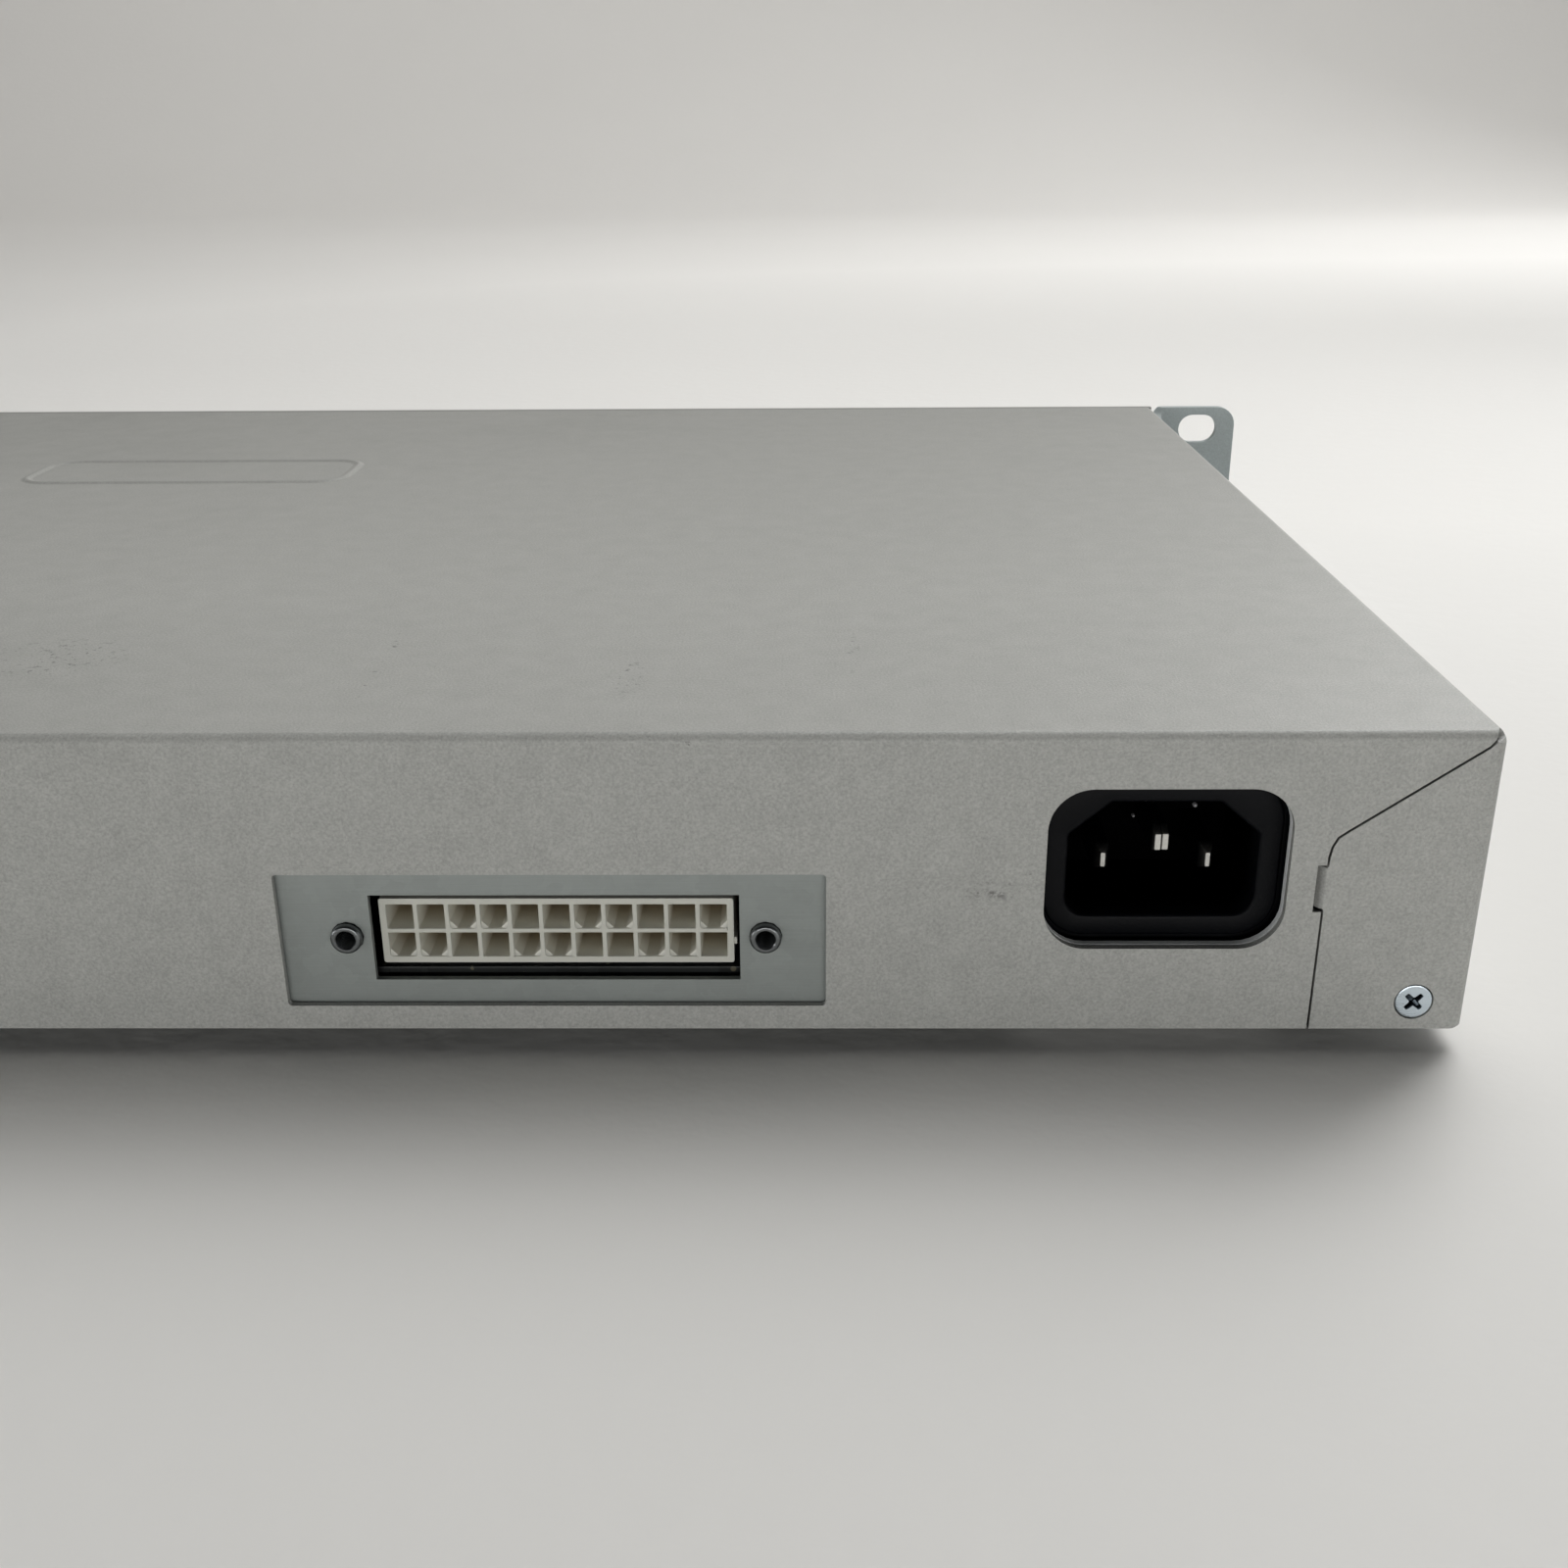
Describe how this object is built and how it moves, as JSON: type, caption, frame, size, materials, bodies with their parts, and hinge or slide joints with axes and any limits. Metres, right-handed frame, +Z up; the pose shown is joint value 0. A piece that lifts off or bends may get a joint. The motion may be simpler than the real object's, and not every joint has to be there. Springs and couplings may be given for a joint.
{
  "type": "rack firewall appliance",
  "caption": "Flat rack-mounted network security box with a folded sheet cover, mains inlet and backup supply connector behind, ports in front.",
  "frame": {"origin": "centre of the footprint, on the surface that the rubber feet stand on", "axes": "+Z up, -Y towards the front with the ports and the rack ears, +Y towards the rear with the mains inlet, +X to the right seen from the front"},
  "size_m": [0.4826, 0.2384, 0.0458],
  "materials": {
    "cover_paint": "light grey powder coat with a fine texture",
    "galvanised_steel": "bare galvanised sheet",
    "ear_steel": "blue-grey coated bracket",
    "zinc_screw": "bluish bright zinc plate",
    "tinned_contacts": "tinned brass",
    "bright_steel": "nickel plated steel",
    "black_moulding": "fine grained black plastic",
    "ivory_moulding": "natural nylon",
    "clear_moulding": "clear acrylic",
    "foot_rubber": "matt rubber",
    "circuit_board": "green solder mask",
    "heatsink_aluminium": "extruded aluminium",
    "ferrite_core": "grey ferrite with yellow tape",
    "copper_winding": "enamelled copper wire",
    "capacitor_sleeve": "dark shrink sleeve",
    "wire_insulation": "wire insulation"
  },
  "bodies": {
    "chassis": {"backup_board": "circuit_board", "backup_ribbon": "wire_insulation", "backup_supply_shell": "ivory_moulding", "backup_supply_terminals": "tinned_contacts", "base_tray": "galvanised_steel", "bulk_capacitor": "capacitor_sleeve", "clock_cell": "bright_steel", "console_jack": "bright_steel", "corner_screw_left": "zinc_screw", "corner_screw_right": "zinc_screw", "ear_screw_1": "zinc_screw", "ear_screw_2": "zinc_screw", "ear_screw_3": "zinc_screw", "ear_screw_4": "zinc_screw", "fan_1_frame": "black_moulding", "fan_2_frame": "black_moulding", "front_panel": "cover_paint", "front_screw_1": "zinc_screw", "front_screw_2": "zinc_screw", "inlet_housing": "black_moulding", "inlet_pin_earth": "tinned_contacts", "inlet_pin_line": "tinned_contacts", "inlet_pin_neutral": "tinned_contacts", "inlet_wire_earth": "wire_insulation", "inlet_wire_line": "wire_insulation", "inlet_wire_neutral": "wire_insulation", "jack_nut_1": "bright_steel", "jack_nut_2": "bright_steel", "lan_jack_block_1": "bright_steel", "lan_jack_block_2": "bright_steel", "light_pipes": "clear_moulding", "main_board": "circuit_board", "management_jack": "bright_steel", "memory_module": "circuit_board", "processor_heatsink": "heatsink_aluminium", "rack_ear_left": "ear_steel", "rack_ear_right": "ear_steel", "reset_switch": "black_moulding", "rubber_foot_1": "foot_rubber", "rubber_foot_2": "foot_rubber", "rubber_foot_3": "foot_rubber", "rubber_foot_4": "foot_rubber", "side_screw_1": "zinc_screw", "side_screw_2": "zinc_screw", "side_screw_3": "zinc_screw", "side_screw_4": "zinc_screw", "storage_module": "circuit_board", "supply_board": "circuit_board", "supply_choke": "copper_winding", "supply_heatsink": "heatsink_aluminium", "supply_ribbon": "wire_insulation", "supply_transformer": "ferrite_core", "switch_heatsink": "heatsink_aluminium", "top_cover": "cover_paint", "transceiver_cage_1": "bright_steel", "transceiver_cage_2": "bright_steel", "usb_port": "bright_steel"},
    "fan_1_rotor": {"fan_1_rotor": "black_moulding"},
    "fan_2_rotor": {"fan_2_rotor": "black_moulding"},
    "reset_button": {"reset_button": "black_moulding"}
  },
  "joints": [
    {"name": "fan_1_spin", "type": "hinge", "parent": "chassis", "child": "fan_1_rotor", "pos_m": [0.206, 0.0712, 0.0241], "axis": [1, 0, 0], "continuous": true},
    {"name": "fan_2_spin", "type": "hinge", "parent": "chassis", "child": "fan_2_rotor", "pos_m": [0.206, 0.0272, 0.0241], "axis": [1, 0, 0], "continuous": true},
    {"name": "reset_press", "type": "slide", "parent": "chassis", "child": "reset_button", "axis": [0, 1, 0], "range_m": [0, 0.0006], "stiffness_N_per_m": 600, "springref_m": -0.0004}
  ]
}
